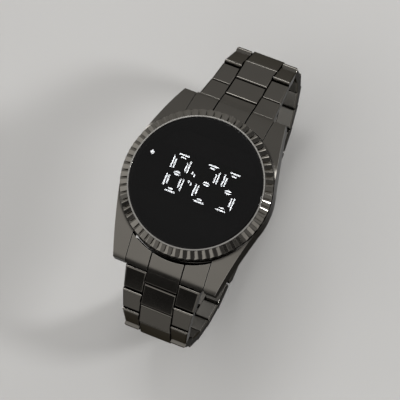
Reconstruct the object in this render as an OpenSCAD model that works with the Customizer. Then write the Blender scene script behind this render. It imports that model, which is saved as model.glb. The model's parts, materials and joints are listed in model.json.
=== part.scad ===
// Touch-screen LED wristwatch with a fluted bezel and a three-row folding steel bracelet.
// The closed bracelet stands on its clasp: +Z up, 12 o'clock towards +Y, 3 o'clock towards +X.

/* [Case] */
// Distance that the round case middle stands out beyond the bezel
case_lip = 0.2; // [0.1:0.05:0.6]
// Wall of the case middle round the module
case_wall = 3; // [2.9:0.1:3.6]
// Height of the round case middle, bezel seat to case back
case_h = 6.4; // [5.8:0.1:8]
// Distance that the lug tips stand out beyond the case middle
lug_reach = 4.2; // [4:0.1:6]
// Width over one pair of lug tips
lug_tip_w = 29; // [27:0.1:32]
// Clear width between the lugs
lug_gap = 22.4; // [22:0.1:24]
// Thickness of the lugs at their tips
lug_t = 3.6; // [3.2:0.1:4]
// Depth of the lug tip's top edge below the crystal
lug_fall = 9.2; // [8.4:0.1:10]
// Slope of the lug at its tip, in degrees
lug_slope = 40; // [36:1:44]
// Distance from the dial's middle at which the tops of the lugs rise to the bezel's seat
lug_root = 8.4; // [7.5:0.1:11]
// Width of the gap round the case middle at the end links
case_gap = 0.5; // [0.2:0.05:0.6]
// Gap between an end link and a lug
lug_play = 0.22; // [0.1:0.01:0.3]
// Radius of the wrist curve under the lugs
wrist_r = 76; // [60:1:100]
// Thickness of the case back
back_t = 1.2; // [1:0.1:1.6]
// Distance of the case back screws from the outside of the case middle
screw_inset = 1.5; // [1.4:0.05:1.6]
// Number of case back screws
screw_count = 4; // [4:1:6]
// Diameter of a case back screw
screw_d = 1.2; // [1:0.05:1.3]

/* [Bezel and crystal] */
// Outside diameter of the fluted bezel
bezel_d = 40; // [39:0.1:40.4]
// Height of the bezel above its seat
bezel_h = 2.3; // [2.1:0.1:3]
// Fall of the fluted slope from its inner to its outer edge
bezel_fall = 1.15; // [0.8:0.05:1.3]
// Number of flutes
flute_count = 60; // [40:1:72]
// Depth of a flute below the slope
flute_depth = 0.55; // [0.3:0.05:0.7]
// Width of the bezel, from the crystal to its outer edge
bezel_w = 2.5; // [2.3:0.1:3]
// Width of the shelf that carries the crystal's edge
shelf_w = 0.5; // [0.45:0.05:0.8]
// Thickness of the crystal
crystal_t = 1.5; // [1.2:0.1:1.7]
// Width of the polished ring between the crystal and the flutes
ring_w = 0.36; // [0.25:0.01:0.6]

/* [Display] */
// Height of a digit over its outer strokes
digit_h = 10.6; // [8:0.1:11]
// Width of a digit over its outer strokes
digit_w = 5; // [4:0.1:5.4]
// Width of a light stroke
stroke_w = 0.38; // [0.25:0.01:0.5]
// Gap between the two strokes of a segment
stroke_gap = 0.33; // [0.15:0.01:0.4]
// Distance of the colon to the left of the dial's centre
colon_x = 1.8; // [0:0.05:3]
// Height of the digits' middle above the dial's centre
display_y = 0.85; // [0:0.05:1.5]
// Height of the LED panel
panel_h = 13; // [12:0.5:15]
// Thickness of the circuit board
pcb_t = 0.8; // [0.6:0.1:1]
// Diameter of the coin cell
cell_d = 20; // [16:0.5:24]
// Thickness of the coin cell
cell_t = 2.5; // [1.6:0.1:2.7]

/* [Bracelet] */
// Length of one row, hinge to hinge
pitch = 7.4; // [7.2:0.05:8]
// Thickness of the links
link_t = 3; // [2.8:0.1:3.1]
// Gap between neighbouring links along the bracelet
link_gap = 0.3; // [0.2:0.05:0.4]
// Width of the bracelet at the case
wide_w = 21.2; // [20.8:0.1:21.8]
// Width of the bracelet at the clasp
narrow_w = 17.8; // [17.2:0.1:19]
// Width of the centre links
centre_w = 9; // [8:0.1:9.6]
// Play between the centre links and the outer links
side_play = 0.13; // [0.08:0.01:0.2]
// Radius on the links' top edges
top_edge_r = 0.5; // [0.3:0.05:0.7]
// Radius on the links' wrist-side edges
wrist_edge_r = 1.1; // [1:0.05:1.2]
// Chamfer along the outer sides of the links
side_chamfer = 0.4; // [0.2:0.05:0.6]
// Diameter of the link pins
pin_d = 1; // [0.8:0.05:1.2]
// Steel left outside the end of a link pin
pin_cover = 1.3; // [1:0.05:1.8]
// Radial play of a pin that turns
hinge_play = 0.05; // [0.03:0.01:0.08]

/* [Clasp] */
// Thickness of the clasp cover's plate
cover_t = 1.1; // [0.9:0.05:1.2]
// Thickness of the clasp cover's side walls
cover_wall = 1; // [0.8:0.05:1.1]
// Height of the clasp cover's side walls
cover_h = 4.4; // [4.2:0.1:4.8]
// Height of the bracelet's end pins above the cover's outer face
end_pin_h = 3.2; // [3.1:0.05:3.4]
// Thickness of the folding blades
blade_t = 0.9; // [0.7:0.05:1]
// Width of the folding blades
blade_w = 13.6; // [12:0.1:14]
// Diameter of the clasp's hinge pins
clasp_pin_d = 1.1; // [0.9:0.05:1.2]
// Diameter of the spring bars
spring_bar_d = 1.4; // [1.2:0.05:1.5]
// Spacing of the holes that adjust the bracelet's length
adjust_step = 3; // [2.6:0.1:3.4]

/* [Hidden] */
$fn = 48;
fixed_play = 0.02;
clearance = 0.1;

// Slope of each row below the horizontal as the closed bracelet stands, from the case to the clasp
row_count = 8;
slopes_12 = [36, 30, 50, 86, 103, 121, 136, 152];
slopes_6_free = [48, 60, 75, 104, 119, 133, 147];

// Sum of the first n of a list of numbers, and how far n rows run along and drop down
function sum(v, n) = n <= 0 ? 0 : v[n - 1] + sum(v, n - 1);
function run(slopes, n) = pitch * sum([for (a = slopes) cos(a)], n);
function fall(slopes, n) = pitch * sum([for (a = slopes) sin(a)], n);

// The last row of the 6 o'clock half takes the slope that brings both ends to one height
slopes_6 = concat(slopes_6_free, [180 - asin((fall(slopes_12, row_count) - fall(slopes_6_free, row_count - 1)) / pitch)]);

// Case and head, measured down from the crystal's top face
case_d = bezel_d + 2 * case_lip;
case_r = case_d / 2;
crystal_d = bezel_d - 2 * bezel_w;
module_d = case_d - 2 * case_wall;
screw_circle = case_d - 2 * screw_inset;
seat_z = -bezel_h;
back_z = seat_z - case_h;
lug_y = case_r + lug_reach;
lug_depth = lug_fall + lug_t;
flank_inset = 0.1;
lug_run = lug_y - lug_root;
lug_drop = lug_fall - bezel_h;
lug_arc_r = (lug_run * lug_run + lug_drop * lug_drop) / 2 / (lug_run * sin(lug_slope) - lug_drop * cos(lug_slope));
lug_arc_y = lug_y - lug_arc_r * sin(lug_slope);
lug_arc_z = -lug_fall - lug_arc_r * cos(lug_slope);
gap_r = case_r + case_gap;
gap_floor_z = lug_arc_z + sqrt(pow(lug_arc_r, 2) - pow(gap_r - lug_arc_y, 2)) - 1.1;
case_line_z = seat_z - 2.4;
case_line = 0.2;
gasket_w = 0.6;
gasket_t = 0.4;
screw_len = 3.4;
screw_head_d = 2;
screw_head_t = 0.6;
back_r = case_r - 0.3;
back_rim = 2.5;
back_step = 0.4;
plug_wall = 1.5;
neck_r = crystal_d / 2 - shelf_w;
lip_gap = 0.12;

// Display and module
filter_t = 0.15;
segment_t = 0.15;
panel_t = 1.3;
layer_gap = 0.05;
filter_z = -crystal_t - layer_gap - filter_t;
panel_top_z = filter_z - layer_gap - segment_t;
pcb_top_z = panel_top_z - panel_t;
holder_wall = 1.6;
ledge = 0.8;
pcb_r = module_d / 2 - holder_wall - 2 * clearance;
board_gap = 0.2;
cell_z = pcb_top_z - pcb_t - board_gap - cell_t;
cell_rim = 0.5;
clip_gap = 0.5;
contact_d = 2.4;
contact_gap = 2.5;
notch_d = 2.4;
clip_t = 0.3;
clip_w = 8;
digit_pitch = 6.15;
lens_r = 1.2;
lens_h = 1.2;

// Links and their pins
end_lip = 0.45;
hinge_in = pitch / 4;
to_hinge = end_lip + link_gap / 2 + hinge_in;
hinge_y = lug_y + to_hinge * cos(lug_slope) - link_t / 2 * sin(lug_slope);
hinge_z = -lug_fall - to_hinge * sin(lug_slope) - link_t / 2 * cos(lug_slope);
head_z = end_pin_h + fall(slopes_12, row_count) - hinge_z;
centre_half = centre_w / 2;
outer_from = centre_half + side_play;
outer_start = link_gap / 2 - hinge_in;
outer_end = 3 * hinge_in - link_gap / 2;
centre_start = hinge_in + link_gap / 2;
centre_end = 5 * hinge_in - link_gap / 2;
seam_chamfer = 0.22;
seam_w = 0.4;
taper_rows = 3;
tongue_root = 1.4;
seam_depth = 0.5;
end_link_w = lug_gap - 2 * lug_play;
bar_u = -4.9;
bar_tip_d = 0.8;
bar_tip = 1.1;

// Half width of the bracelet at a distance s from the case, and half length of a row's pins
function half_w(s) = narrow_w / 2 + (wide_w - narrow_w) / 2 * max(0, 1 - s / (taper_rows * pitch));
function pin_half(k) = half_w((k + 1) * pitch) - pin_cover;

// Clasp, measured from the cover's outer face: end pins of the bracelet, then the blades' hinges
end_6_y = -(hinge_y + run(slopes_6, row_count));
end_12_y = hinge_y + run(slopes_12, row_count);
tail_len = 6;
pin_a_y = end_12_y - tail_len;
pin_lift = 1.2;
fold_setback = 4.6;
knuckle_wall = 0.5;
knuckle_gap = 0.3;
blade_float = 0.5;
blade_gap = 1;
pin_skin = 0.3;
wall_end = 0.9;
wall_ear_r = 1.3;
window_end = 4;
pin_a_z = cover_t + pin_lift;
pin_b_y = end_6_y + fold_setback;
knuckle_r = clasp_pin_d / 2 + knuckle_wall;
blade_a_z = cover_t + blade_float;
blade_b_z = blade_a_z + blade_t + blade_gap;
pin_b_z = (blade_a_z + blade_b_z + blade_t) / 2;
wall_x = narrow_w / 2 - cover_wall;
mid_knuckle_w = 7.6;
plate_back = 0.5;
plate_from = end_6_y + knuckle_gap;
plate_to = pin_a_y - plate_back;
fork_root = 3.4;
tail_from = 2.7;
ear_r = 1.4;

steel = [0.33, 0.32, 0.31];
dark_steel = [0.24, 0.235, 0.23];
bright_steel = [0.5, 0.49, 0.47];
black = [0.05, 0.05, 0.055];

// Turns a drawing in the (y, z) plane into a solid of width w, centred on x
module along_x(w) rotate([90, 0, 90]) translate([0, 0, -w / 2]) linear_extrude(w) children();

// A round bar along x, centred
module x_rod(d, w) rotate([0, 90, 0]) cylinder(d = d, h = w, center = true);

// A flat ring standing on z = 0
module ring(outer_d, inner_d, h) {
    difference() {
        cylinder(d = outer_d, h = h, $fn = 96);
        translate([0, 0, -1]) cylinder(d = inner_d, h = h + 2, $fn = 96);
    }
}

module at_head() translate([0, 0, head_z]) children();
module both_halves() {
    children();
    mirror([0, 1, 0]) children();
}

// The frame of the first hinge, y along the end link's slope and z outwards
module at_first_hinge() translate([0, hinge_y, hinge_z]) rotate([-lug_slope, 0, 0]) children();

// Plan of the case middle: straight flanks run from the round to the lug tips
module case_plan() {
    flank_r = case_r - flank_inset;
    tip = lug_tip_w / 2;
    touch = atan2(lug_y, tip) - acos(flank_r / norm([tip, lug_y]));
    tx = flank_r * cos(touch);
    ty = flank_r * sin(touch);
    polygon([[tx, ty], [tip, lug_y], [-tip, lug_y], [-tx, ty], [-tx, -ty], [-tip, -lug_y], [tip, -lug_y], [tx, -ty]]);
}

// The arc over the lugs and the end links, seen from the side
module lug_arc(grow) translate([lug_arc_y, lug_arc_z]) circle(r = lug_arc_r + grow, $fn = 96);

// Side view of a lug: an arc over the top, the wrist's curve below
module lug_side() {
    difference() {
        intersection() {
            translate([0, -lug_depth]) square([lug_y, lug_depth + seat_z]);
            lug_arc(0);
        }
        translate([0, back_z - wrist_r]) circle(r = wrist_r, $fn = 96);
    }
}

module lugs() {
    both_halves() difference() {
        intersection() {
            translate([0, 0, -lug_depth - 1]) linear_extrude(lug_depth + 1) case_plan();
            along_x(case_d + 2) lug_side();
        }
        translate([-lug_gap / 2, 0, -lug_depth - 2]) cube([lug_gap, 2 * lug_y, lug_depth + 2]);
    }
}

module screw_places() {
    for (i = [0 : screw_count - 1]) {
        rotate([0, 0, 45 + 360 * i / screw_count]) translate([screw_circle / 2, 0, back_z]) children();
    }
}

// A fine V-shaped line round the wall of the case middle
module case_wall_line() rotate_extrude($fn = 96) polygon([
    [case_r + 1, case_line_z + case_line + 1], [case_r + 1, case_line_z - case_line - 1],
    [case_r - case_line, case_line_z]
]);

module case_body() color(steel) at_head() {
    difference() {
        union() {
            difference() {
                translate([0, 0, back_z]) cylinder(r = case_r, h = case_h, $fn = 96);
                case_wall_line();
            }
            lugs();
        }
        translate([0, 0, back_z - 5]) cylinder(d = module_d, h = case_h + 10, $fn = 96);
        translate([0, 0, back_z - 5]) cylinder(r = module_d / 2 + gasket_w, h = 5 + gasket_t, $fn = 96);
        translate([0, 0, back_z - 5]) cylinder(r = back_r + clearance, h = 5, $fn = 96);
        screw_places() cylinder(d = screw_d + 2 * fixed_play, h = screw_len - back_t, $fn = 24);
        both_halves() at_first_hinge() translate([0, bar_u, 0])
            x_rod(bar_tip_d + 2 * fixed_play, lug_gap + 2 * bar_tip);
    }
}

module case_back() color(dark_steel) at_head() {
    difference() {
        union() {
            translate([0, 0, back_z - back_t]) cylinder(r = back_r, h = back_t - fixed_play, $fn = 96);
            translate([0, 0, back_z - back_t - back_step])
                cylinder(d = screw_circle - 2 * back_rim, h = 2 * back_step, $fn = 96);
            translate([0, 0, back_z - clearance])
                ring(module_d - 2 * clearance, module_d - 2 * plug_wall, clearance + gasket_t);
        }
        screw_places() translate([0, 0, -5]) cylinder(d = screw_d + 2 * fixed_play, h = 10, $fn = 24);
        screw_places() translate([0, 0, -back_t - 5])
            cylinder(d = screw_head_d + 2 * fixed_play, h = 5 + screw_head_t, $fn = 24);
    }
}

module case_back_gasket() color(black) at_head() {
    translate([0, 0, back_z]) ring(module_d + 2 * gasket_w - 2 * fixed_play, module_d, gasket_t - fixed_play);
}

module case_back_screws() color(bright_steel) at_head() screw_places() {
    difference() {
        union() {
            translate([0, 0, -back_t]) cylinder(d = screw_head_d, h = screw_head_t - fixed_play, $fn = 24);
            translate([0, 0, -back_t + 0.1]) cylinder(d = screw_d, h = screw_len - 0.3, $fn = 24);
        }
        translate([-screw_head_d, -0.12, -back_t - 1]) cube([2 * screw_head_d, 0.24, 1.2]);
    }
}

// The bezel carries a polished ring round the crystal, and the flutes on its slope
module bezel() color(steel) at_head() {
    lip_r = crystal_d / 2 + lip_gap;
    flute_r = lip_r + ring_w;
    shelf_z = -crystal_t - 0.24;
    edge_r = bezel_d / 2;
    rotate_extrude($fn = 96) polygon([
        [lip_r, 0], [flute_r, 0], [flute_r, seat_z], [neck_r, seat_z],
        [neck_r, shelf_z], [lip_r + 0.16, shelf_z], [lip_r + 0.16, -0.35], [lip_r, -0.35]
    ]);
    difference() {
        rotate_extrude($fn = 96) polygon([
            [flute_r, -0.15], [edge_r, -0.15 - bezel_fall], [edge_r, seat_z + 0.3],
            [edge_r - 0.4, seat_z + 0.3], [edge_r - 0.4, seat_z], [flute_r, seat_z]
        ]);
        for (i = [0 : flute_count - 1]) rotate([0, 0, 360 * (i + 0.5) / flute_count]) flute_cut(flute_r);
    }
}

// A V-shaped cutter that follows the bezel's slope outwards
module flute_cut(inner_r) {
    half = PI * inner_r / flute_count - 0.02;
    lift = 0.5;
    top = half * (1 + lift / flute_depth);
    translate([inner_r, 0, -0.15]) rotate([0, atan(bezel_fall / (bezel_d / 2 - inner_r)), 0])
        translate([-0.5, 0, 0]) rotate([90, 0, 90])
            linear_extrude(4) polygon([[0, -flute_depth], [top, lift], [-top, lift]]);
}

module crystal() color([0.1, 0.1, 0.11, 0.6]) at_head() {
    edge = crystal_d / 2;
    rotate_extrude($fn = 96) polygon([
        [0, -0.02], [edge - 0.15, -0.02], [edge, -0.17], [edge, -crystal_t], [0, -crystal_t]
    ]);
}

module crystal_gasket() color([0.7, 0.7, 0.7]) at_head() {
    inner = crystal_d / 2 + 0.03;
    outer = crystal_d / 2 + 0.25;
    foot = crystal_d / 2 - 0.4;
    rotate_extrude($fn = 96) polygon([
        [inner, -0.4], [outer, -0.4], [outer, -crystal_t - 0.22],
        [foot, -crystal_t - 0.22], [foot, -crystal_t - 0.03], [inner, -crystal_t - 0.03]
    ]);
}

// Display and module, stacked under the crystal
module display_filter() color(black) at_head() {
    translate([0, 0, filter_z]) cylinder(r = neck_r - clearance, h = filter_t, $fn = 96);
}

module led_panel() color(black) at_head() {
    intersection() {
        translate([-pcb_r, display_y - panel_h / 2, pcb_top_z]) cube([2 * pcb_r, panel_h, panel_t]);
        translate([0, 0, pcb_top_z]) cylinder(r = pcb_r - clearance, h = panel_t, $fn = 96);
    }
}

// A stroke of light from a to b with pointed ends
module stroke(a, b) {
    w = stroke_w / 2;
    len = norm(b - a);
    translate(a) rotate(atan2(b[1] - a[1], b[0] - a[0]))
        polygon([[0, 0], [w, -w], [len - w, -w], [len, 0], [len - w, w], [w, w]]);
}

// Two strokes side by side, the long one outside and the short one on the side that turn gives
module segment(a, b, turn, end_trim) {
    along = (b - a) / norm(b - a);
    step = stroke_w + stroke_gap;
    inward = [-along[1], along[0]] * turn * step;
    stroke(a, b);
    stroke(a + inward + along * step, b + inward - along * end_trim);
}

// The middle segment is a slim lens that a line divides lengthwise
module lens() {
    difference() {
        intersection_for(side = [-1, 1]) translate([0, side * (lens_r - lens_h / 2)]) circle(r = lens_r);
        square([3 * lens_r, 0.8 * stroke_gap], center = true);
    }
}

// The lit segments of a digit: a top, b and c right, d bottom, e and f left, g middle
module digit(lit) {
    x = (digit_w - stroke_w) / 2;
    y = (digit_h - stroke_w) / 2;
    corner = 0.85;
    step = stroke_w + stroke_gap;
    if (search("a", lit)) segment([-x + corner, y], [x - corner, y], -1, step);
    if (search("b", lit)) segment([x, y - corner], [x, corner], -1, stroke_w / 3);
    if (search("c", lit)) segment([x, -y + corner], [x, -corner], 1, stroke_w / 3);
    if (search("d", lit)) segment([-x + corner, -y], [x - corner, -y], 1, step);
    if (search("e", lit)) segment([-x, -y + corner], [-x, -corner], -1, stroke_w / 3);
    if (search("f", lit)) segment([-x, y - corner], [-x, corner], 1, stroke_w / 3);
    if (search("g", lit)) lens();
}

// Two pairs of short strokes, the left one of a pair a little higher
module colon() {
    x = (stroke_w + stroke_gap) / 2;
    for (y = [-1.2, 1.2]) {
        stroke([-x, y - 0.25], [-x, y + 0.7]);
        stroke([x, y - 0.7], [x, y + 0.25]);
    }
}

module led_segments() color([0.95, 0.97, 1]) at_head() {
    translate([-colon_x, display_y, panel_top_z]) linear_extrude(segment_t) {
        translate([-0.66 * digit_pitch, 0]) digit("abcdefg");
        colon();
        translate([0.67 * digit_pitch, 0]) digit("abged");
        translate([1.67 * digit_pitch, 0]) digit("afgcd");
        translate([-2 * digit_pitch, digit_h * 0.28]) circle(d = 1);
    }
}

module circuit_board() color([0.06, 0.2, 0.12]) at_head() {
    translate([0, 0, pcb_top_z - pcb_t]) difference() {
        cylinder(r = pcb_r, h = pcb_t, $fn = 96);
        for (side = [-1, 1]) translate([side * pcb_r, 0, -1]) cylinder(d = notch_d, h = pcb_t + 2);
    }
}

module touch_contact() color(black) at_head() {
    translate([0, display_y - panel_h / 2 - contact_gap, pcb_top_z])
        cylinder(d = contact_d, h = filter_z - pcb_top_z);
}

// The ring that carries the board has a ledge under it and reaches from the bezel to the case back
module module_holder() color([0.12, 0.12, 0.13]) at_head() {
    bottom = back_z + gasket_t;
    translate([0, 0, bottom]) ring(module_d - 2 * clearance, 2 * pcb_r + 2 * clearance, seat_z - bottom - fixed_play);
    translate([0, 0, pcb_top_z - pcb_t - ledge]) ring(2 * pcb_r + 3 * clearance, 2 * pcb_r - 2 * ledge, ledge);
}

module coin_cell() color(bright_steel) at_head() {
    translate([0, 0, cell_z]) {
        translate([0, 0, cell_rim]) cylinder(d = cell_d, h = cell_t - cell_rim, $fn = 96);
        cylinder(d = cell_d - 4 * cell_rim, h = cell_t - clearance, $fn = 96);
    }
}

// A strap under the cell with two legs up to the board
module cell_clip() color(bright_steel) at_head() {
    reach = cell_d / 2 + clip_gap;
    top = pcb_top_z - pcb_t;
    along_x(clip_w) difference() {
        translate([-reach - clip_t, cell_z - clip_t - fixed_play])
            square([2 * reach + 2 * clip_t, top - cell_z + clip_t + fixed_play]);
        translate([-reach, cell_z - fixed_play]) square([2 * reach, cell_t + 5]);
    }
}

// Side view of a link between two places along the bracelet, rounded at its four corners
module link_side(from, to) {
    h = link_t / 2;
    top = h - top_edge_r;
    low = wrist_edge_r - h;
    polygon(concat(
        [for (a = [180 : 22.5 : 270]) [from + wrist_edge_r * (1 + cos(a)), low + wrist_edge_r * sin(a)]],
        [for (a = [270 : 22.5 : 360]) [to - wrist_edge_r * (1 - cos(a)), low + wrist_edge_r * sin(a)]],
        [for (a = [0 : 30 : 90]) [to - top_edge_r * (1 - cos(a)), top + top_edge_r * sin(a)]],
        [for (a = [90 : 30 : 180]) [from + top_edge_r * (1 + cos(a)), top + top_edge_r * sin(a)]]
    ));
}

// Cuts a chamfer c along a straight edge of length len that lies along y
module edge_chamfer(c, len) rotate([0, 45, 0]) cube([c * sqrt(2), len, c * sqrt(2)], center = true);

// An end link fills the space between the lugs and carries the first hinge on its tongue
module end_link_side() {
    front = -hinge_in - link_gap / 2;
    h = link_t / 2;
    intersection() {
        lug_arc(0);
        translate([hinge_y, hinge_z]) rotate(-lug_slope) polygon([
            [-16, 12], [front, 12], [front, wrist_edge_r - h], [front - wrist_edge_r, -h], [-16, -h]
        ]);
    }
}

module end_link() {
    difference() {
        union() {
            along_x(end_link_w) end_link_side();
            at_first_hinge() translate([0, 0, -2 * fixed_play])
                along_x(centre_w) link_side(-hinge_in - tongue_root, hinge_in - link_gap / 2);
        }
        translate([0, 0, -30]) cylinder(r = case_r + clearance, h = 40, $fn = 96);
        translate([0, 0, gap_floor_z]) cylinder(r = gap_r, h = 20, $fn = 96);
        for (side = [-1, 1]) {
            translate([side * (centre_half + side_play), 0, 0]) along_x(seam_w) difference() {
                lug_arc(2);
                lug_arc(-seam_depth);
            }
        }
        at_first_hinge() {
            x_rod(pin_d + 2 * hinge_play, centre_w + 2);
            translate([0, bar_u, 0]) x_rod(spring_bar_d + 2 * fixed_play, end_link_w + 2);
        }
    }
}

module end_link_12() color(steel) at_head() end_link();
module end_link_6() color(steel) at_head() mirror([0, 1, 0]) end_link();

module lug_spring_bars() color(bright_steel) at_head() both_halves() at_first_hinge() translate([0, bar_u, 0]) {
    x_rod(spring_bar_d, end_link_w - 2 * clearance);
    x_rod(bar_tip_d, lug_gap + 2 * bar_tip - 2 * clearance);
}

// Places row k, counted from 0 at the case, of the 12 or the 6 o'clock half
module at_row(slopes, k) {
    translate([0, hinge_y + run(slopes, k), head_z + hinge_z - fall(slopes, k)]) rotate([-slopes[k], 0, 0]) children();
}

// The right-hand outer link of row k, which narrows towards the clasp
module outer_link(k) {
    from_w = half_w(k * pitch + link_gap / 2);
    to_w = half_w((k + 1) * pitch - link_gap / 2);
    len = outer_end - outer_start;
    mid = (outer_start + outer_end) / 2;
    grow = (from_w - to_w) / len;
    difference() {
        intersection() {
            rotate([90, 0, 90]) translate([0, 0, outer_from])
                linear_extrude(wide_w / 2) link_side(outer_start, outer_end);
            translate([0, 0, -link_t]) linear_extrude(2 * link_t) polygon([
                [0, outer_start - 1], [from_w + grow, outer_start - 1], [to_w - grow, outer_end + 1], [0, outer_end + 1]
            ]);
        }
        for (face = [-1, 1]) {
            translate([(from_w + to_w) / 2, mid, face * link_t / 2]) rotate([0, 0, atan(grow)])
                edge_chamfer(side_chamfer, len + 2);
        }
        translate([outer_from, mid, link_t / 2]) edge_chamfer(seam_chamfer, len + 2);
        for (y = [0, pitch / 2]) {
            translate([0, y, 0]) rotate([0, 90, 0]) cylinder(d = pin_d + 2 * fixed_play, h = pin_half(k) + clearance);
        }
    }
}

module outer_links(slopes, k) color(steel) at_row(slopes, k) {
    outer_link(k);
    mirror([1, 0, 0]) outer_link(k);
}

// The centre link of row k, with the row's two pins; the first pin is the hinge to the row before
module centre_link(slopes, k) color(dark_steel) at_row(slopes, k) {
    next_d = k == row_count - 1 ? spring_bar_d : pin_d;
    difference() {
        along_x(centre_w) link_side(centre_start, centre_end);
        for (side = [-1, 1]) {
            translate([side * centre_half, (centre_start + centre_end) / 2, link_t / 2])
                edge_chamfer(seam_chamfer, pitch + 2);
        }
        translate([0, pitch / 2, 0]) x_rod(pin_d + 2 * fixed_play, centre_w + 2);
        translate([0, pitch, 0]) x_rod(next_d + 2 * hinge_play, centre_w + 2);
    }
    for (y = [0, pitch / 2]) translate([0, y, 0]) x_rod(pin_d, 2 * pin_half(k));
}

module outer_links_12(number) outer_links(slopes_12, number - 1);
module centre_link_12(number) centre_link(slopes_12, number - 1);
module outer_links_6(number) mirror([0, 1, 0]) outer_links(slopes_6, number - 1);
module centre_link_6(number) mirror([0, 1, 0]) centre_link(slopes_6, number - 1);

// The clasp cover is a channel that rests on its outer face; its walls hold the first spring bar and hinge
module cover_side() {
    polygon([
        [plate_from, 0], [plate_to, 0], [pin_a_y + wall_end, pin_a_z - wall_end],
        [pin_a_y + wall_end, pin_a_z + 0.8 * wall_end], [pin_a_y - wall_end, cover_h], [end_6_y, cover_h],
        [end_6_y - 0.7 * wall_ear_r, end_pin_h - 0.7 * wall_ear_r]
    ]);
    translate([end_6_y, end_pin_h]) circle(r = wall_ear_r);
}

module clasp_cover() color(steel) {
    difference() {
        union() {
            translate([-wall_x - 0.2, plate_from, 0]) cube([2 * wall_x + 0.4, plate_to - plate_from, cover_t]);
            for (side = [-1, 1]) {
                translate([side * (wall_x + cover_wall / 2), 0, 0]) along_x(cover_wall) cover_side();
            }
        }
        for (side = [-1, 1]) {
            translate([side * narrow_w / 2, (end_6_y + pin_a_y) / 2, 0])
                edge_chamfer(side_chamfer, pin_a_y - end_6_y + 10);
        }
        for (i = [0 : 3]) {
            translate([0, end_6_y + i * adjust_step, end_pin_h]) x_rod(bar_tip_d + 2 * fixed_play, narrow_w + 2);
        }
        translate([0, pin_a_y, pin_a_z]) x_rod(clasp_pin_d + 2 * fixed_play, narrow_w - 2 * pin_skin);
    }
}

module clasp_spring_bar_6() color(bright_steel) translate([0, end_6_y, end_pin_h]) {
    x_rod(spring_bar_d, 2 * wall_x - 2 * clearance);
    x_rod(bar_tip_d, narrow_w - pin_skin);
}

module clasp_pin_outer() color(bright_steel) translate([0, pin_a_y, pin_a_z])
    x_rod(clasp_pin_d, narrow_w - 2 * pin_skin - 2 * clearance);

// The outer blade turns on the cover and carries the hinge of the inner blade at its other end
module clasp_blade_outer() color(dark_steel) {
    side_knuckle_w = (blade_w - mid_knuckle_w) / 2 - clearance;
    difference() {
        union() {
            translate([-blade_w / 2, pin_b_y, blade_a_z]) cube([blade_w, pin_a_y - pin_b_y, blade_t]);
            translate([0, pin_a_y, pin_a_z]) x_rod(2 * knuckle_r, 2 * wall_x - 4 * clearance);
            for (side = [-1, 1]) {
                translate([side * (blade_w - side_knuckle_w) / 2, pin_b_y, pin_b_z]) x_rod(2 * knuckle_r, side_knuckle_w);
            }
        }
        translate([-mid_knuckle_w / 2 - clearance, pin_b_y - 2 * knuckle_r, 0])
            cube([mid_knuckle_w + 2 * clearance, 3 * knuckle_r + knuckle_gap, cover_h]);
        translate([-blade_w / 4, pin_b_y + window_end, 0])
            cube([blade_w / 2, pin_a_y - pin_b_y - 2 * window_end, cover_h]);
        translate([0, pin_a_y, pin_a_z]) x_rod(clasp_pin_d + 2 * hinge_play, narrow_w);
        translate([0, pin_b_y, pin_b_z]) x_rod(clasp_pin_d + 2 * fixed_play, narrow_w);
    }
}

module clasp_pin_inner() color(bright_steel) translate([0, pin_b_y, pin_b_z]) x_rod(clasp_pin_d, blade_w - 4 * clearance);

// Side view of the inner blade's tail, with a round end about the last pin
module tail_side() {
    translate([pin_a_y + tail_from, end_pin_h - ear_r]) square([tail_len - tail_from, 2 * ear_r]);
    translate([end_12_y, end_pin_h]) circle(r = ear_r);
}

// The inner blade ends in a fork that holds the last link of the 12 o'clock half
module clasp_blade_inner() color(dark_steel) {
    difference() {
        union() {
            translate([-blade_w / 2, pin_b_y, blade_b_z]) cube([blade_w, pin_a_y + fork_root - pin_b_y, blade_t]);
            translate([0, pin_b_y, pin_b_z]) x_rod(2 * knuckle_r, mid_knuckle_w - clearance);
            along_x(narrow_w) tail_side();
        }
        for (side = [-1, 1]) {
            translate([side * (mid_knuckle_w - clearance + blade_w) / 2, pin_b_y, blade_b_z])
                cube([blade_w, 2 * (knuckle_r + knuckle_gap), 2 * blade_t + 2 * clearance], center = true);
            translate([side * narrow_w / 2, end_12_y, end_pin_h - ear_r]) edge_chamfer(side_chamfer, 4 * tail_len);
        }
        translate([-blade_w / 5, pin_b_y + window_end, 0])
            cube([blade_w * 0.4, pin_a_y - pin_b_y - 2 * window_end, cover_h + 2]);
        translate([-outer_from, pin_a_y + fork_root, 0]) cube([2 * outer_from, tail_len, cover_h + 2]);
        translate([0, pin_b_y, pin_b_z]) x_rod(clasp_pin_d + 2 * hinge_play, narrow_w);
        translate([0, end_12_y, end_pin_h]) x_rod(bar_tip_d + 2 * fixed_play, 2 * outer_from + 2 * bar_tip);
    }
}

// This spring bar sits in the last link with its tips drawn in
module clasp_spring_bar_12() color(bright_steel) translate([0, end_12_y, end_pin_h]) {
    x_rod(spring_bar_d, centre_w - 2 * clearance);
    x_rod(bar_tip_d, centre_w);
}

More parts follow.
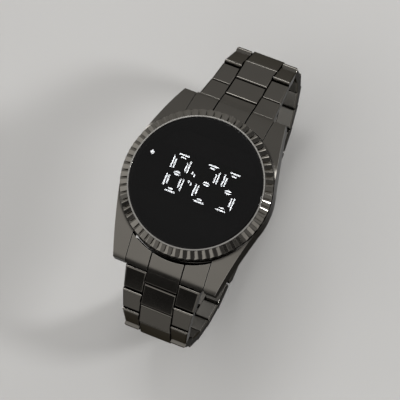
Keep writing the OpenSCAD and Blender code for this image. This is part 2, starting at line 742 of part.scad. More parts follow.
case_body();
bezel();
crystal();
crystal_gasket();
display_filter();
led_panel();
led_segments();
circuit_board();
touch_contact();
module_holder();
coin_cell();
cell_clip();
case_back();
case_back_gasket();
case_back_screws();
end_link_12();
end_link_6();
lug_spring_bars();
outer_links_12(1);  // outer_links_12_1
outer_links_12(2);  // outer_links_12_2
outer_links_12(3);  // outer_links_12_3
outer_links_12(4);  // outer_links_12_4
outer_links_12(5);  // outer_links_12_5
outer_links_12(6);  // outer_links_12_6
outer_links_12(7);  // outer_links_12_7
outer_links_12(8);  // outer_links_12_8
centre_link_12(1);  // centre_link_12_1
centre_link_12(2);  // centre_link_12_2
centre_link_12(3);  // centre_link_12_3
centre_link_12(4);  // centre_link_12_4
centre_link_12(5);  // centre_link_12_5
centre_link_12(6);  // centre_link_12_6
centre_link_12(7);  // centre_link_12_7
centre_link_12(8);  // centre_link_12_8
outer_links_6(1);  // outer_links_6_1
outer_links_6(2);  // outer_links_6_2
outer_links_6(3);  // outer_links_6_3
outer_links_6(4);  // outer_links_6_4
outer_links_6(5);  // outer_links_6_5
outer_links_6(6);  // outer_links_6_6
outer_links_6(7);  // outer_links_6_7
outer_links_6(8);  // outer_links_6_8
centre_link_6(1);  // centre_link_6_1
centre_link_6(2);  // centre_link_6_2
centre_link_6(3);  // centre_link_6_3
centre_link_6(4);  // centre_link_6_4
centre_link_6(5);  // centre_link_6_5
centre_link_6(6);  // centre_link_6_6
centre_link_6(7);  // centre_link_6_7
centre_link_6(8);  // centre_link_6_8
clasp_cover();
clasp_spring_bar_6();
clasp_pin_outer();
clasp_blade_outer();
clasp_pin_inner();
clasp_blade_inner();
clasp_spring_bar_12();
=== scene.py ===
"""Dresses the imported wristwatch: plated steel, a smoked display with light bars, and the studio round it."""

import json
import logging
import math
from dataclasses import dataclass, field
from enum import Enum
from typing import Any, Callable, Sequence

import bmesh
import bpy
from mathutils import Matrix, Vector

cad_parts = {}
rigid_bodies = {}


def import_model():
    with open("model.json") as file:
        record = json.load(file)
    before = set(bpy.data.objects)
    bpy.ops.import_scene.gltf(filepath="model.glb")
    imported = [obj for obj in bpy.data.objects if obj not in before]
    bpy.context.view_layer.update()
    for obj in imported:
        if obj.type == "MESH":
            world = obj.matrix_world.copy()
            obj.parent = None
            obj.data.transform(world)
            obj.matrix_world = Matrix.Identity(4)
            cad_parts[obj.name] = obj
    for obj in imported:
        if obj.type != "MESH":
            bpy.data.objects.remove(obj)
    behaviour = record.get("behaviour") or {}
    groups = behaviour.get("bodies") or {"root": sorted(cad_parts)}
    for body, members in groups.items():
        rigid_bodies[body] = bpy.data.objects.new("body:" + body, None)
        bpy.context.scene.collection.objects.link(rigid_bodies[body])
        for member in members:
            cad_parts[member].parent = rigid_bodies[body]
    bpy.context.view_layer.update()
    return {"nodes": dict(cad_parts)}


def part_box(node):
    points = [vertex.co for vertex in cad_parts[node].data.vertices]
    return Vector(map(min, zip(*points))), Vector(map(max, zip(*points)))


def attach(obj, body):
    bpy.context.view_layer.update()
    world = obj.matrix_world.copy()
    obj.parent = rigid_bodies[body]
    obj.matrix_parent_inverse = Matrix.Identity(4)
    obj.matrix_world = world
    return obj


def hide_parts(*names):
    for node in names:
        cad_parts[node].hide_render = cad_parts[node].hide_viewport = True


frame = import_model()
MM = 0.001
HEAD = "head"
SECOND_PAINT = 1
NOISE_MEAN = 0.5
LOG = logging.getLogger("watch")

Colour = tuple[float, float, float]
Point = tuple[float, float, float]
TreeOwner = bpy.types.Material | bpy.types.World


@dataclass(frozen=True)
class Lines:
    """The fine lines that a tool leaves on steel, in cells per metre and metres deep."""

    cells: float
    octaves: float
    stretch: float
    depth: float


class Grain(Enum):
    """How a steel face is finished, with the lines that this leaves."""

    POLISHED = Lines(cells=5200.0, octaves=2.0, stretch=0.05, depth=0.0009 * MM)
    BRUSHED = Lines(cells=9000.0, octaves=3.0, stretch=0.03, depth=0.004 * MM)


class Wire:
    """A value in a node tree, with arithmetic that adds the nodes it needs."""

    def __init__(self, tree: bpy.types.NodeTree, socket: bpy.types.NodeSocket) -> None:
        """Wraps an output socket.

        Args:
            tree: the node tree that new nodes go into.
            socket: the output socket.
        """
        self.tree = tree
        self.socket = socket

    def _maths(self, operation: str, *values: Any) -> "Wire":
        """Adds a Math node.

        Args:
            operation: the node's operation.
            values: wires or numbers for its inputs.

        Returns:
            The node's result.
        """
        node = self.tree.nodes.new("ShaderNodeMath")
        node.operation = operation
        for slot, value in zip(node.inputs, values):
            plug(self.tree, slot, value)
        return Wire(self.tree, node.outputs[0])

    def __add__(self, other: Any) -> "Wire":
        """Sum."""
        return self._maths("ADD", self, other)

    __radd__ = __add__

    def __sub__(self, other: Any) -> "Wire":
        """Difference."""
        return self._maths("SUBTRACT", self, other)

    def __rsub__(self, other: Any) -> "Wire":
        """Difference, the other way round."""
        return self._maths("SUBTRACT", other, self)

    def __mul__(self, other: Any) -> "Wire":
        """Product."""
        return self._maths("MULTIPLY", self, other)

    __rmul__ = __mul__

    def __truediv__(self, other: Any) -> "Wire":
        """Quotient."""
        return self._maths("DIVIDE", self, other)

    def __pow__(self, other: Any) -> "Wire":
        """Power."""
        return self._maths("POWER", self, other)

    def clamped(self) -> "Wire":
        """The value held between 0 and 1."""
        return self._maths("MINIMUM", self._maths("MAXIMUM", self, 0.0), 1.0)


def plug(tree: bpy.types.NodeTree, slot: bpy.types.NodeSocket, value: Any) -> None:
    """Links a wire to an input, or writes a plain value into it.

    Args:
        tree: the node tree.
        slot: the input socket.
        value: a Wire, a number or a tuple.
    """
    if isinstance(value, Wire):
        tree.links.new(value.socket, slot)
    else:
        slot.default_value = value


class Bench:
    """One node tree, with a short way to add nodes."""

    def __init__(self, owner: TreeOwner, output: str) -> None:
        """Empties the tree and adds its texture coordinates.

        Args:
            owner: the material or the world that holds the tree.
            output: the type of its output node.
        """
        self.owner = owner
        self.output = output
        owner.use_nodes = True
        self.tree = owner.node_tree
        self.tree.nodes.clear()
        self.coords = self.node("ShaderNodeTexCoord").outputs

    @classmethod
    def material(cls, name: str) -> "Bench":
        """A bench for a new material.

        Args:
            name: the material's name.

        Returns:
            The bench.
        """
        return cls(bpy.data.materials.new(name), "ShaderNodeOutputMaterial")

    def node(self, kind: str, settings: dict[str, Any] | None = None, **values: Any) -> bpy.types.Node:
        """Adds a node, sets its settings first and then its inputs.

        Args:
            kind: the node's type.
            settings: the node's own settings, such as an operation.
            values: inputs by name, with underscores for spaces.

        Returns:
            The node.
        """
        made = self.tree.nodes.new(kind)
        for key, value in (settings or {}).items():
            setattr(made, key, value)
        for key, value in values.items():
            plug(self.tree, made.inputs[key.replace("_", " ")], value)
        return made

    def wire(self, socket: bpy.types.NodeSocket) -> Wire:
        """Wraps an output socket."""
        return Wire(self.tree, socket)

    def noise(self, cells: float, octaves: float = 3.0, stretch: Point = (1.0, 1.0, 1.0)) -> Wire:
        """Noise on object coordinates.

        Args:
            cells: cells per metre.
            octaves: layers of detail.
            stretch: scale along X, Y and Z.

        Returns:
            The noise value, about 0 to 1.
        """
        mapping = self.node("ShaderNodeMapping", Vector=self.wire(self.coords["Object"]), Scale=stretch)
        placed = self.wire(mapping.outputs[0])
        made = self.node("ShaderNodeTexNoise", Vector=placed, Scale=cells, Detail=octaves)
        return self.wire(made.outputs["Fac"])

    def blend(self, share: Wire, first: Wire | Colour, second: Wire | Colour) -> Wire:
        """Mixes two colours.

        Args:
            share: how much of the second.
            first: a colour or wire.
            second: a colour or wire.

        Returns:
            The mixed colour.
        """
        made = self.node("ShaderNodeMix", {"data_type": "RGBA"})
        # A Mix node's factors and colours share their names, so its sockets go by number
        plug(self.tree, made.inputs[0], share)
        for slot, value in ((made.inputs[6], first), (made.inputs[7], second)):
            plug(self.tree, slot, value if isinstance(value, Wire) else (*value, 1.0))
        return self.wire(made.outputs[2])

    def mottle(self, clouds: Wire, tint: Colour, dark: float) -> Wire:
        """A colour that clouds towards a darker share of itself.

        Args:
            clouds: 0 where it is darkest.
            tint: the colour.
            dark: the darkest share of it.

        Returns:
            The colour.
        """
        return self.blend(clouds, tuple(dark * part for part in tint), tint)

    def painted_edge_highlight(self, radius: float, gain: float) -> Wire:
        """How close a point is to an edge, from how far a rounded normal leans; this masks a painted
        highlight.

        Args:
            radius: reach in metres.
            gain: strength.

        Returns:
            0 on a face, up to 1 on an edge.
        """
        rounded = self.node("ShaderNodeBevel", {"samples": 4}, Radius=radius).outputs[0]
        true = self.node("ShaderNodeNewGeometry").outputs["Normal"]
        dot = self.node("ShaderNodeVectorMath", {"operation": "DOT_PRODUCT"})
        for slot, normal in zip(dot.inputs, (rounded, true)):
            plug(self.tree, slot, self.wire(normal))
        return ((1.0 - self.wire(dot.outputs["Value"])) * gain).clamped()

    def recess_shade(self, reach: float, gain: float) -> Wire:
        """How deep in a gap or groove a point lies, as a mask for painted shade.

        Args:
            reach: reach in metres.
            gain: strength.

        Returns:
            0 in the open, up to 1 deep in a gap or groove.
        """
        shade = self.node("ShaderNodeAmbientOcclusion", {"samples": 6}, Distance=reach)
        return ((1.0 - self.wire(shade.outputs["AO"])) * gain).clamped()

    def bump(self, height: Wire, depth: float, strength: float) -> Wire:
        """A bump from a height.

        Args:
            height: the height, 0 to 1.
            depth: metres from 0 to 1.
            strength: how much of it is used.

        Returns:
            The normal.
        """
        made = self.node("ShaderNodeBump", Height=height, Distance=depth, Strength=strength)
        return self.wire(made.outputs[0])

    def close(self, kind: str, **values: Any) -> TreeOwner:
        """Adds the surface's shader and links it to the output.

        Args:
            kind: the shader's type.
            values: its inputs by name.

        Returns:
            The material or world.
        """
        shader = self.node(kind, **values)
        self.node(self.output, Surface=self.wire(shader.outputs[0]))
        return self.owner

    def principled(self, **values: Any) -> bpy.types.Material:
        """Closes a material with a Principled shader.

        Args:
            values: its inputs by name.

        Returns:
            The material.
        """
        return self.close("ShaderNodeBsdfPrincipled", **values)


@dataclass(frozen=True)
class PlatedSteel:
    """Dark plated steel, polished or brushed, with hairlines, a painted highlight on its edges and painted
    shade in its gaps and grooves.
    """

    name: str
    tint: Colour = (0.127, 0.12, 0.108)
    # Painted highlight: the lighter colour laid on rounded edges.
    edge_highlight_tint: Colour = (0.5, 0.48, 0.45)
    # Painted shade: the near-black colour laid in gaps and grooves.
    painted_shade_tint: Colour = (0.012, 0.011, 0.01)
    roughness: float = 0.1
    grazing: float = 0.22
    grain: Grain = Grain.POLISHED
    grain_strength: float = 0.6
    hairline_axis: int = 1
    cloud_cells: float = 140.0
    cloud_dark: float = 0.88
    cloud_roughness: float = 0.06
    fine_cells: float = 2600.0
    fine_roughness: float = 0.04
    edge_highlight_reach: float = 0.16 * MM
    edge_highlight_gain: float = 2.6
    edge_highlight_share: float = 0.75
    recess_reach: float = 0.8 * MM
    recess_gain: float = 3.2
    recess_falloff: float = 1.4
    recess_roughness: float = 0.3

    def build(self) -> bpy.types.Material:
        """Makes the material.

        Returns:
            The material.
        """
        bench = Bench.material(self.name)
        clouds = bench.noise(self.cloud_cells, octaves=4.0)
        fine = bench.noise(self.fine_cells, octaves=2.0)
        grain = self.grain.value
        stretch = tuple(grain.stretch if axis == self.hairline_axis else 1.0 for axis in range(3))
        lines = bench.noise(grain.cells, grain.octaves, stretch)
        # Painted highlight: edges are tinted lighter, standing in for light caught on them.
        edge = bench.painted_edge_highlight(self.edge_highlight_reach, self.edge_highlight_gain)
        # Painted shade: gaps and grooves are darkened from ambient occlusion.
        recess_shade = bench.recess_shade(self.recess_reach, self.recess_gain) ** self.recess_falloff
        colour = bench.mottle(clouds, self.tint, self.cloud_dark)
        colour = bench.blend(edge * self.edge_highlight_share, colour, self.edge_highlight_tint)
        colour = bench.blend(recess_shade, colour, self.painted_shade_tint)
        rough = self.roughness + (clouds - NOISE_MEAN) * self.cloud_roughness
        rough = rough + (fine - NOISE_MEAN) * self.fine_roughness
        return bench.principled(
            Base_Color=colour,
            Metallic=1.0,
            Roughness=(rough + recess_shade * self.recess_roughness).clamped(),
            Specular_Tint=(self.grazing, self.grazing, self.grazing, 1.0),
            Normal=bench.bump(lines, grain.depth, self.grain_strength),
        )


@dataclass(frozen=True)
class Moulded:
    """Plastic, rubber, lacquer or nickel with a faint mottle and grain."""

    name: str
    tint: Colour
    roughness: float = 0.5
    metallic: float = 0.0
    gloss: float = 0.5
    cloud_cells: float = 300.0
    cloud_dark: float = 0.8
    cloud_roughness: float = 0.12
    grain_cells: float = 6000.0
    grain_depth: float = 0.004 * MM
    grain_strength: float = 0.5

    def build(self) -> bpy.types.Material:
        """Makes the material.

        Returns:
            The material.
        """
        bench = Bench.material(self.name)
        clouds = bench.noise(self.cloud_cells, octaves=4.0)
        grain = bench.noise(self.grain_cells, octaves=2.0)
        return bench.principled(
            Base_Color=bench.mottle(clouds, self.tint, self.cloud_dark),
            Metallic=self.metallic,
            Specular_IOR_Level=self.gloss,
            Roughness=(self.roughness + (clouds - NOISE_MEAN) * self.cloud_roughness).clamped(),
            Normal=bench.bump(grain, self.grain_depth, self.grain_strength),
        )


@dataclass(frozen=True)
class Lens:
    """Smoked glass or film that lets a share of the light straight through."""

    name: str
    tint: Colour
    cover: float
    gloss: float
    roughness: float = 0.04
    smear_cells: float = 60.0
    smear_dark: float = 0.7
    smear_roughness: float = 0.03

    def build(self) -> bpy.types.Material:
        """Makes the material.

        Returns:
            The material.
        """
        bench = Bench.material(self.name)
        smear = bench.noise(self.smear_cells)
        return bench.principled(
            Base_Color=bench.mottle(smear, self.tint, self.smear_dark),
            Roughness=(self.roughness + smear * self.smear_roughness).clamped(),
            Specular_IOR_Level=self.gloss,
            Alpha=self.cover,
        )


@dataclass(frozen=True)
class Light:
    """A lit bar of the display."""

    name: str
    tint: Colour = (0.95, 0.97, 1.0)
    strength: float = 11.0
    patch_cells: float = 900.0
    patch_dark: float = 0.94
    unlit: Colour = (0.8, 0.8, 0.8)
    roughness: float = 0.4

    def build(self) -> bpy.types.Material:
        """Makes the material.

        Returns:
            The material.
        """
        bench = Bench.material(self.name)
        patches = bench.noise(self.patch_cells, octaves=2.0)
        return bench.principled(
            Base_Color=(*self.unlit, 1.0),
            Roughness=self.roughness,
            Emission_Color=bench.mottle(patches, self.tint, self.patch_dark),
            Emission_Strength=self.strength,
        )


@dataclass(frozen=True)
class Rounding:
    """How sharp edges are rounded: width in metres, least bend in degrees, faces across."""

    width: float
    bend: float = 38.0
    segments: int = 3


@dataclass
class Workshop:
    """Selecting, copying and finishing meshes with Blender's own operators."""

    merge: float = 1e-6
    flat_angle: float = math.radians(0.4)
    face_weight: int = 100

    @staticmethod
    def deselect() -> None:
        """Nothing is selected afterwards."""
        if bpy.context.object and bpy.context.object.mode != "OBJECT":
            bpy.ops.object.mode_set(mode="OBJECT")
        for item in bpy.context.view_layer.objects:
            item.select_set(False)

    def pick(self, piece: bpy.types.Object) -> None:
        """Selects one piece alone and makes it active.

        Args:
            piece: the piece.
        """
        self.deselect()
        piece.select_set(True)
        bpy.context.view_layer.objects.active = piece

    def copy_of(self, node: str, *paints: bpy.types.Material) -> bpy.types.Object:
        """A welded copy of a CAD node's mesh, with flat faces whole again.

        Args:
            node: the CAD node.
            paints: its materials; the first one covers it.

        Returns:
            The copy.
        """
        mesh = frame["nodes"][node].data.copy()
        mesh.materials.clear()
        for paint in paints:
            mesh.materials.append(paint)
        piece = bpy.data.objects.new(f"{node}_softened", mesh)
        bpy.context.scene.collection.objects.link(piece)
        self.pick(piece)
        bpy.ops.object.mode_set(mode="EDIT")
        bpy.ops.mesh.select_all(action="SELECT")
        if mesh.has_custom_normals:
            bpy.ops.mesh.customdata_custom_splitnormals_clear()
        bpy.ops.mesh.remove_doubles(threshold=self.merge)
        bpy.ops.mesh.dissolve_limited(angle_limit=self.flat_angle, delimit=set())
        bpy.ops.object.mode_set(mode="OBJECT")
        return piece

    @staticmethod
    def repaint(piece: bpy.types.Object, wanted: Callable[[bpy.types.MeshPolygon], bool]) -> None:
        """Gives chosen faces the piece's second material.

        Args:
            piece: the piece.
            wanted: tells whether a face is chosen.
        """
        for face in piece.data.polygons:
            if wanted(face):
                face.material_index = SECOND_PAINT

    def chamfer(
        self, piece: bpy.types.Object, width: float, wanted: Callable[[bmesh.types.BMEdge], bool]
    ) -> None:
        """Chamfers chosen edges and gives the new faces the piece's second material.

        Args:
            piece: the piece.
            width: width of the chamfer in metres.
            wanted: tells whether an edge is chamfered.
        """
        self.pick(piece)
        bpy.ops.object.mode_set(mode="EDIT")
        bpy.ops.mesh.select_mode(type="EDGE")
        bpy.ops.mesh.select_all(action="DESELECT")
        cage = bmesh.from_edit_mesh(piece.data)
        chosen = [edge for edge in cage.edges if len(edge.link_faces) == 2 and wanted(edge)]
        for edge in chosen:
            edge.select = True
        bmesh.update_edit_mesh(piece.data)
        LOG.info("%s: %d edges chamfered", piece.name, len(chosen))
        bpy.ops.mesh.bevel(
            offset=width, segments=1, affect="EDGES", clamp_overlap=True, material=SECOND_PAINT
        )
        bpy.ops.object.mode_set(mode="OBJECT")

    def soften(self, piece: bpy.types.Object, rounding: Rounding) -> None:
        """Rounds a piece's sharp edges and keeps its flats flat.

        Args:
            piece: the piece.
            rounding: how its edges are rounded.
        """
        bend = math.radians(rounding.bend)
        self.pick(piece)
        bpy.ops.object.shade_smooth_by_angle(angle=bend)
        bevel = piece.modifiers.new("edges", "BEVEL")
        bevel.width = rounding.width
        bevel.segments = rounding.segments
        bevel.limit_method = "ANGLE"
        bevel.angle_limit = bend
        bevel.use_clamp_overlap = True
        bpy.ops.object.modifier_apply(modifier=bevel.name)
        even = piece.modifiers.new("flat_faces", "WEIGHTED_NORMAL")
        even.mode = "FACE_AREA"
        even.weight = self.face_weight
        even.keep_sharp = True
        bpy.ops.object.modifier_apply(modifier=even.name)

    @staticmethod
    def settle(piece: bpy.types.Object, node: str, body: str, slot: str) -> None:
        """Puts a finished copy in a CAD node's place.

        Args:
            piece: the finished copy.
            node: the CAD node that it stands for.
            body: the body it rides on.
            slot: the record's material slot; not used.
        """
        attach(piece, body)
        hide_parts(node)
        LOG.info("%s: softened, %d faces", node, len(piece.data.polygons))

    def refine(
        self, node: str, body: str, rounding: Rounding, slot: str, paint: bpy.types.Material
    ) -> None:
        """Puts a copy with softened edges in a CAD node's place.

        Args:
            node: the CAD node.
            body: the body it rides on.
            rounding: how its edges are rounded.
            slot: the record's material slot.
            paint: its material.
        """
        piece = self.copy_of(node, paint)
        self.soften(piece, rounding)
        self.settle(piece, node, body, slot)

    @staticmethod
    def dress(node: str, paint: bpy.types.Material) -> None:
        """Gives a CAD node a material and keeps its mesh.

        Args:
            node: the CAD node.
            paint: the material.
        """
        materials = frame["nodes"][node].data.materials
        materials.clear()
        materials.append(paint)
        LOG.info("%s: dressed", node)


@dataclass
class Finishes:
    """Every finish on the watch, made once."""

    case: bpy.types.Material = field(init=False)
    brushed: bpy.types.Material = field(init=False)
    satin: bpy.types.Material = field(init=False)
    fluted: bpy.types.Material = field(init=False)
    bright: bpy.types.Material = field(init=False)
    crystal: bpy.types.Material = field(init=False)
    clear: bpy.types.Material = field(init=False)
    film: bpy.types.Material = field(init=False)
    black: bpy.types.Material = field(init=False)
    seal: bpy.types.Material = field(init=False)
    rubber: bpy.types.Material = field(init=False)
    board: bpy.types.Material = field(init=False)
    cell: bpy.types.Material = field(init=False)
    light: bpy.types.Material = field(init=False)

    def __post_init__(self) -> None:
        """Builds the materials."""
        self.case = PlatedSteel("plated_steel_polished").build()
        self.brushed = PlatedSteel(
            "plated_steel_brushed",
            (0.17, 0.161, 0.147),
            roughness=0.3,
            grain=Grain.BRUSHED,
            recess_gain=1.6,
        ).build()
        self.satin = PlatedSteel(
            "plated_steel_satin",
            (0.3, 0.29, 0.27),
            roughness=0.38,
            grain=Grain.BRUSHED,
            hairline_axis=0,
            recess_gain=1.8,
        ).build()
        self.fluted = PlatedSteel(
            "plated_steel_fluted",
            (0.195, 0.185, 0.167),
            edge_highlight_reach=0.08 * MM,
            recess_reach=0.4 * MM,
            recess_gain=1.1,
        ).build()
        # Lighter steel: a painted highlight on the crystal ring and lug chamfers, and the own colour of
        # screws, pins and spring bars.
        self.bright = PlatedSteel("bright_steel", (0.42, 0.41, 0.39), roughness=0.14).build()
        self.crystal = Lens("smoked_crystal", (0.003, 0.003, 0.0032), cover=0.9, gloss=0.2).build()
        self.clear = Lens("clear_glass", (0.002, 0.002, 0.0022), cover=0.02, gloss=0.0).build()
        self.film = Lens("smoked_film", (0.002, 0.002, 0.0022), cover=0.06, gloss=0.0).build()
        self.black = Moulded("black_lacquer", (0.002, 0.002, 0.0021), 0.7, gloss=0.0, grain_depth=0.0).build()
        self.seal = Moulded("black_nylon", (0.006, 0.006, 0.006)).build()
        self.rubber = Moulded("black_rubber", (0.012, 0.012, 0.012), 0.7).build()
        self.board = Moulded("solder_resist", (0.004, 0.01, 0.007), 0.4).build()
        self.cell = Moulded("cell_nickel", (0.5, 0.49, 0.46), 0.25, metallic=1.0).build()
        self.light = Light("light_bar").build()


@dataclass
class Head:
    """The case with its bezel, crystal, display and module."""

    shop: Workshop
    finishes: Finishes
    edge: Rounding = Rounding(0.18 * MM)
    flute_edge: Rounding = Rounding(0.05 * MM, bend=20.0, segments=2)
    glass_edge: Rounding = Rounding(0.08 * MM)
    glass_upward: float = 0.2
    lug_chamfer: float = 0.5 * MM
    lug_from_y: float = 8.0 * MM
    lug_from_x: float = 13.5 * MM
    flank_upward: float = 0.1
    flank_outward: float = 0.8
    lug_top_upward: float = 0.6
    ring_reach: float = 17.99 * MM
    ring_depth: float = 0.2 * MM

    def is_lug_edge(self, edge: bmesh.types.BMEdge) -> bool:
        """Tells whether an edge runs between a lug's top and its flank.

        Args:
            edge: the edge.

        Returns:
            True for such an edge.
        """
        middle = (edge.verts[0].co + edge.verts[1].co) / 2
        if abs(middle.y) < self.lug_from_y or abs(middle.x) < self.lug_from_x:
            return False
        flank, top = sorted((face.normal for face in edge.link_faces), key=lambda normal: normal.z)
        is_flank = abs(flank.z) < self.flank_upward and abs(flank.x) > self.flank_outward
        return is_flank and top.z > self.lug_top_upward

    def case(self) -> None:
        """Chamfers the lugs' outer edges in lighter steel as a painted highlight, and softens the case."""
        piece = self.shop.copy_of("case_body", self.finishes.case, self.finishes.bright)
        # The chamfers take the lighter steel, a painted highlight.
        self.shop.chamfer(piece, self.lug_chamfer, self.is_lug_edge)
        self.shop.soften(piece, self.edge)
        self.shop.settle(piece, "case_body", HEAD, "steel")

    def bezel(self) -> None:
        """Softens the flutes and tints the ring round the crystal lighter, as a painted highlight."""
        piece = self.shop.copy_of("bezel", self.finishes.fluted, self.finishes.bright)
        crystal_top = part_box("crystal")[1][2]
        ring_from = crystal_top - self.ring_depth
        # The ring round the crystal takes the lighter steel, a painted highlight.
        self.shop.repaint(
            piece, lambda face: face.center.xy.length < self.ring_reach and face.center.z > ring_from
        )
        self.shop.soften(piece, self.flute_edge)
        self.shop.settle(piece, "bezel", HEAD, "steel_bright")

    def crystal(self) -> None:
        """Smokes the crystal's upper faces, leaves the rest clear and softens its rim."""
        piece = self.shop.copy_of("crystal", self.finishes.clear, self.finishes.crystal)
        self.shop.repaint(piece, lambda face: face.normal.z > self.glass_upward)
        self.shop.soften(piece, self.glass_edge)
        self.shop.settle(piece, "crystal", HEAD, "crystal")

    def build(self) -> None:
        """Softens the outer metal and the crystal, and dresses everything else."""
        paint = self.finishes
        self.case()
        self.bezel()
        self.crystal()
        self.shop.refine("case_back", HEAD, self.edge, "steel", paint.brushed)
        for side in ("12", "6"):
            self.shop.refine(f"end_link_{side}", HEAD, self.edge, "steel", paint.case)
        paints = {
            "crystal_gasket": paint.seal,
            "display_filter": paint.film,
            "led_panel": paint.black,
            "led_segments": paint.light,
            "circuit_board": paint.board,
            "touch_contact": paint.black,
            "module_holder": paint.black,
            "coin_cell": paint.cell,
            "cell_clip": paint.cell,
            "case_back_gasket": paint.rubber,
            "case_back_screws": paint.bright,
            "lug_spring_bars": paint.bright,
        }
        for node, node_paint in paints.items():
            self.shop.dress(node, node_paint)


@dataclass
class BraceletHalf:
    """One half of the bracelet: rows of two outer links and a centre link on pins."""

    shop: Workshop
    finishes: Finishes
    side: str
    row_count: int = 8
    edge: Rounding = Rounding(0.34 * MM)
    loop_height: float = 29.0 * MM
    inward: float = 0.8

    def faces_inward(self, face: bpy.types.MeshPolygon) -> bool:
        """Tells whether a face looks into the bracelet's loop.

        Args:
            face: the face.

        Returns:
            True for a link's inner face.
        """
        way = Vector((0.0, -face.center.y, self.loop_height - face.center.z)).normalized()
        return face.normal.dot(way) > self.inward

    def link(self, kind: str, row: int, slot: str) -> None:
        """Softens a row's links, polished outside and satin inside.

        Args:
            kind: outer_links or centre_link.
            row: the row's number from the case.
            slot: the record's material slot.
        """
        node = f"{kind}_{self.side}_{row}"
        piece = self.shop.copy_of(node, self.finishes.case, self.finishes.satin)
        self.shop.repaint(piece, self.faces_inward)
        self.shop.soften(piece, self.edge)
        self.shop.settle(piece, node, f"row_{self.side}_{row}", slot)

    def build(self) -> None:
        """Softens every link of the half."""
        for row in range(1, self.row_count + 1):
            self.link("outer_links", row, "steel")
            self.link("centre_link", row, "steel_brushed")


@dataclass
class Clasp:
    """The folding clasp: cover, two blades, pins and spring bars."""

    shop: Workshop
    finishes: Finishes
    edge: Rounding = Rounding(0.1 * MM)

    def build(self) -> None:
        """Softens the cover and the blades and dresses the pins."""
        for node in ("clasp_cover", "clasp_blade_outer", "clasp_blade_inner"):
            self.shop.refine(node, node, self.edge, "steel_brushed", self.finishes.brushed)
        for node in ("clasp_spring_bar_6", "clasp_spring_bar_12", "clasp_pin_outer", "clasp_pin_inner"):
            self.shop.dress(node, self.finishes.bright)


@dataclass(frozen=True)
class Step:
    """A soft step across the sky: 0 up to its start, and 1 a width further along its way."""

    way: Point
    start: float
    width: float

    def over(self, sky: Sequence[Wire]) -> Wire:
        """Lays the step over the sky.

        Args:
            sky: the X, Y and Z of a direction.

        Returns:
            0 to 1.
        """
        parts = [axis * share for axis, share in zip(sky, self.way) if share]
        along = parts[0]
        for part in parts[1:]:
            along = along + part
        return ((along - self.start) / self.width).clamped()


def zone(sky: Sequence[Wire], steps: Sequence[Step]) -> Wire:
    """The part of the sky that lies past every step.

    Args:
        sky: the X, Y and Z of a direction.
        steps: the steps that bound it.

    Returns:
        1 inside, 0 outside.
    """
    inside = steps[0].over(sky)
    for step in steps[1:]:
        inside = inside * step.over(sky)
    return inside


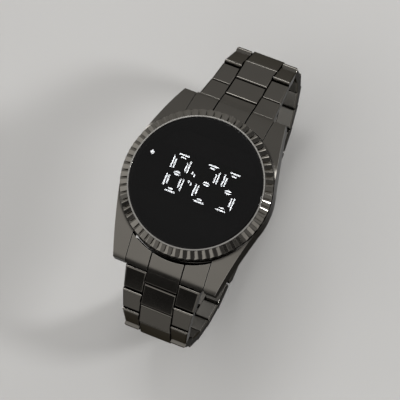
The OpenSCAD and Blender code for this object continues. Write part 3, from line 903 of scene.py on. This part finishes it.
@dataclass
class Studio:
    """A plain pale floor, soft lamps, a sky with lighter and darker zones, and the camera."""

    floor_half: float = 2.5
    floor_colour: Colour = (0.52, 0.517, 0.51)
    floor_cells: float = 30.0
    floor_dark: float = 0.97
    floor_roughness: float = 0.9
    lamp_aim: Point = (0.0, 0.0, 0.03)
    key_place: Point = (0.9, 0.29, 0.74)
    key_side: float = 0.18
    key_glow: float = 54.0
    strip_place: Point = (-0.17, 0.38, 0.82)
    strip_size: tuple[float, float] = (0.3, 0.22)
    strip_glow: float = 7.5
    sky_colour: Colour = (1.0, 0.985, 0.965)
    sky_level: float = 0.53
    west: tuple[Step, ...] = (Step(way=(-0.9, -0.7, 0.0), start=0.12, width=0.36),)
    west_gain: float = 0.62
    east: tuple[Step, ...] = (
        Step(way=(0.93, -0.2, 0.3), start=0.45, width=0.3),
        Step(way=(0.0, 1.0, 0.0), start=-0.6, width=0.25),
    )
    east_level: float = 0.13
    low_south: tuple[Step, ...] = (
        Step(way=(0.0, 0.0, -1.0), start=-0.372, width=0.03),
        Step(way=(0.0, -1.0, 0.0), start=0.7, width=0.16),
        Step(way=(1.0, 0.0, 0.0), start=-0.41, width=0.1),
        Step(way=(-1.0, 0.0, 0.0), start=-0.11, width=0.1),
    )
    low_south_level: float = 0.06
    glint: tuple[Step, ...] = (
        Step(way=(0.0, 0.0, 1.0), start=0.28, width=0.06),
        Step(way=(0.0, 0.0, -1.0), start=-0.56, width=0.06),
        Step(way=(0.64, 0.77, 0.0), start=0.8, width=0.05),
    )
    glint_gain: float = 2.4
    camera_place: Point = (0.113936, -0.10355, 0.619084)
    camera_right: Point = (0.91603508, 0.38482001, -0.1131074)
    camera_down: Point = (0.35245087, -0.90687539, -0.23098791)
    camera_ahead: Point = (-0.19146309, 0.17172823, -0.96635982)
    lens: float = 202.962
    sensor: float = 36.0
    near_clip: float = 0.01
    far_clip: float = 20.0

    def floor(self) -> None:
        """Lays the floor."""
        Workshop.deselect()
        bpy.ops.mesh.primitive_plane_add(size=2 * self.floor_half, location=(0.0, 0.0, 0.0))
        plane = bpy.context.object
        plane.name = "floor"
        bench = Bench.material("floor_paint")
        clouds = bench.noise(self.floor_cells, octaves=5.0)
        colour = bench.mottle(clouds, self.floor_colour, self.floor_dark)
        plane.data.materials.append(bench.principled(Base_Color=colour, Roughness=self.floor_roughness))

    def lamp(self, name: str, place: Point, size: tuple[float, float], glow: float) -> None:
        """Hangs a softbox that faces the watch.

        Args:
            name: its name.
            place: where it hangs.
            size: its width and height.
            glow: its radiance.
        """
        data = bpy.data.lights.new(name, "AREA")
        data.shape = "RECTANGLE"
        data.size, data.size_y = size
        data.energy = glow * math.pi * size[0] * size[1]
        lamp = bpy.data.objects.new(name, data)
        lamp.location = place
        lamp.rotation_mode = "QUATERNION"
        lamp.rotation_quaternion = (Vector(self.lamp_aim) - Vector(place)).to_track_quat("-Z", "Y")
        bpy.context.scene.collection.objects.link(lamp)

    def sky(self) -> None:
        """Sets a sky that is lighter in the west, darker in the east and low in the south, with one glint."""
        world = bpy.data.worlds.new("studio")
        bpy.context.scene.world = world
        bench = Bench(world, "ShaderNodeOutputWorld")
        parts = bench.node("ShaderNodeSeparateXYZ", Vector=bench.wire(bench.coords["Generated"]))
        sky = [bench.wire(output) for output in parts.outputs]
        west = zone(sky, self.west)
        east = zone(sky, self.east)
        low = zone(sky, self.low_south)
        level = (west * self.west_gain + self.sky_level) * (1.0 - east) + east * self.east_level
        level = level * (1.0 - low) + low * self.low_south_level
        level = level + zone(sky, self.glint) * self.glint_gain
        bench.close("ShaderNodeBackground", Color=(*self.sky_colour, 1.0), Strength=level)

    def camera(self) -> None:
        """Sets the camera where the photograph was taken from."""
        data = bpy.data.cameras.new("photo_camera")
        data.lens = self.lens
        data.sensor_width = self.sensor
        data.clip_start = self.near_clip
        data.clip_end = self.far_clip
        camera = bpy.data.objects.new("photo_camera", data)
        columns = (self.camera_right, [-v for v in self.camera_down], [-v for v in self.camera_ahead])
        turn = Matrix([[column[row] for column in columns] for row in range(3)])
        camera.matrix_world = Matrix.Translation(self.camera_place) @ turn.to_4x4()
        bpy.context.scene.collection.objects.link(camera)
        bpy.context.scene.camera = camera

    def build(self) -> None:
        """Sets up the whole studio."""
        self.floor()
        self.lamp("key_box", self.key_place, (self.key_side, self.key_side), self.key_glow)
        self.lamp("top_strip", self.strip_place, self.strip_size, self.strip_glow)
        self.sky()
        self.camera()
        bpy.context.scene.view_settings.view_transform = "Standard"


def main() -> None:
    """Builds the studio and the watch, part by part."""
    logging.basicConfig(level=logging.INFO, format="%(message)s")
    Workshop.deselect()
    Studio().build()
    finishes = Finishes()
    shop = Workshop()
    parts = {
        "head": Head(shop, finishes),
        "12 o'clock half": BraceletHalf(shop, finishes, "12"),
        "6 o'clock half": BraceletHalf(shop, finishes, "6"),
        "clasp": Clasp(shop, finishes),
    }
    for name, part in parts.items():
        part.build()
        LOG.info("%s is done", name)


if __name__ == "__main__":
    main()
